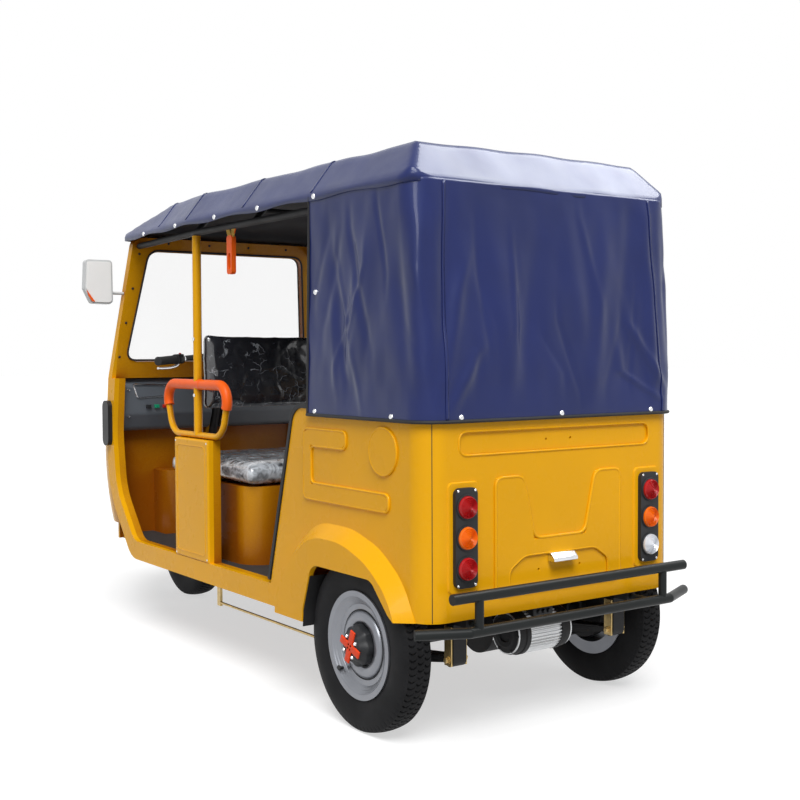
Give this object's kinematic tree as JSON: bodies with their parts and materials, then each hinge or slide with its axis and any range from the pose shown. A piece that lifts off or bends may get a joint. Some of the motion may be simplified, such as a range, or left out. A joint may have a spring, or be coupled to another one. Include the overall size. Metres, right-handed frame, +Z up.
{
  "type": "auto rickshaw",
  "caption": "Three-wheel passenger rickshaw with a yellow steel tub, a navy canvas top with rear curtain, open doorways with guard hoops, and a single steered front wheel.",
  "frame": {"origin": "on the road, midway along the length and on the centre plane", "axes": "+X forward, +Y to the vehicle's left, +Z up"},
  "size_m": [3.0682, 1.3436, 1.8158],
  "materials": {
    "yellow_paint": "gloss paint over pressed steel",
    "black_paint": "satin black paint",
    "canvas": "coated navy canvas",
    "black_rubber": "matte rubber",
    "tyre": "matte tyre rubber",
    "steel": "silver painted steel",
    "motor_alloy": "cast finish",
    "black_plastic": "moulded, satin",
    "orange_plastic": "moulded, satin",
    "black_vinyl": "vinyl under clear film",
    "red_lens": "ringed lens",
    "amber_lens": "ringed lens",
    "clear_lens": "ringed lens",
    "glass": "clear",
    "mirror": "silvered",
    "zinc": "yellow zinc plate"
  },
  "bodies": {
    "chassis": {"chassis_frame": "black_paint", "floor_panel": "yellow_paint", "floor_mat": "black_rubber", "door_frame_left": "yellow_paint", "door_frame_right": "yellow_paint", "rear_side_left": "yellow_paint", "rear_side_right": "yellow_paint", "rear_panel": "yellow_paint", "front_shell": "yellow_paint", "front_bulkhead": "yellow_paint", "windscreen_frame": "yellow_paint", "windscreen_glass": "glass", "dashboard": "black_plastic", "door_seals": "black_rubber", "canopy_frame": "black_paint", "canopy_roof": "canvas", "canopy_curtain": "canvas", "side_hoop_left": "yellow_paint", "side_hoop_right": "yellow_paint", "guard_panel_left": "yellow_paint", "guard_panel_right": "yellow_paint", "hoop_grips": "orange_plastic", "driver_seat_base": "yellow_paint", "driver_cushion": "black_vinyl", "driver_backrest": "black_vinyl", "bench_base": "yellow_paint", "bench_cushion": "black_vinyl", "bench_backrest": "black_vinyl", "rear_bumper": "black_paint", "lamp_boards": "black_plastic", "red_lenses": "red_lens", "amber_lenses": "amber_lens", "clear_lens": "clear_lens", "plate_lamp": "steel", "side_markers": "black_plastic", "rear_axle": "black_paint", "drive_motor": "motor_alloy", "leaf_springs": "black_paint", "brake_linkage": "zinc", "battery_pack": "black_plastic", "headlamps": "black_plastic", "headlamp_lenses": "clear_lens", "mirrors": "black_plastic", "mirror_glasses": "mirror", "grab_straps": "orange_plastic"},
    "steering": {"fork": "black_paint", "handlebar": "black_paint", "front_mudguard": "black_plastic"},
    "front_wheel": {"tyre_front": "tyre", "rim_front": "steel"},
    "rear_wheel_left": {"tyre_rear_left": "tyre", "rim_rear_left": "steel"},
    "rear_wheel_right": {"tyre_rear_right": "tyre", "rim_rear_right": "steel"}
  },
  "joints": [
    {"name": "steering_turn", "type": "hinge", "parent": "chassis", "child": "steering", "pos_m": [1.144, 0, 0.2725], "axis": [-0.3355, 0, 0.9421], "range_deg": [-26, 26]},
    {"name": "front_wheel_spin", "type": "hinge", "parent": "steering", "child": "front_wheel", "pos_m": [1.184, 0, 0.2725], "axis": [0, 1, 0], "continuous": true},
    {"name": "rear_left_spin", "type": "hinge", "parent": "chassis", "child": "rear_wheel_left", "pos_m": [-1.106, 0.495, 0.2725], "axis": [0, 1, 0], "continuous": true},
    {"name": "rear_right_spin", "type": "hinge", "parent": "chassis", "child": "rear_wheel_right", "pos_m": [-1.106, -0.495, 0.2725], "axis": [0, 1, 0], "continuous": true}
  ]
}
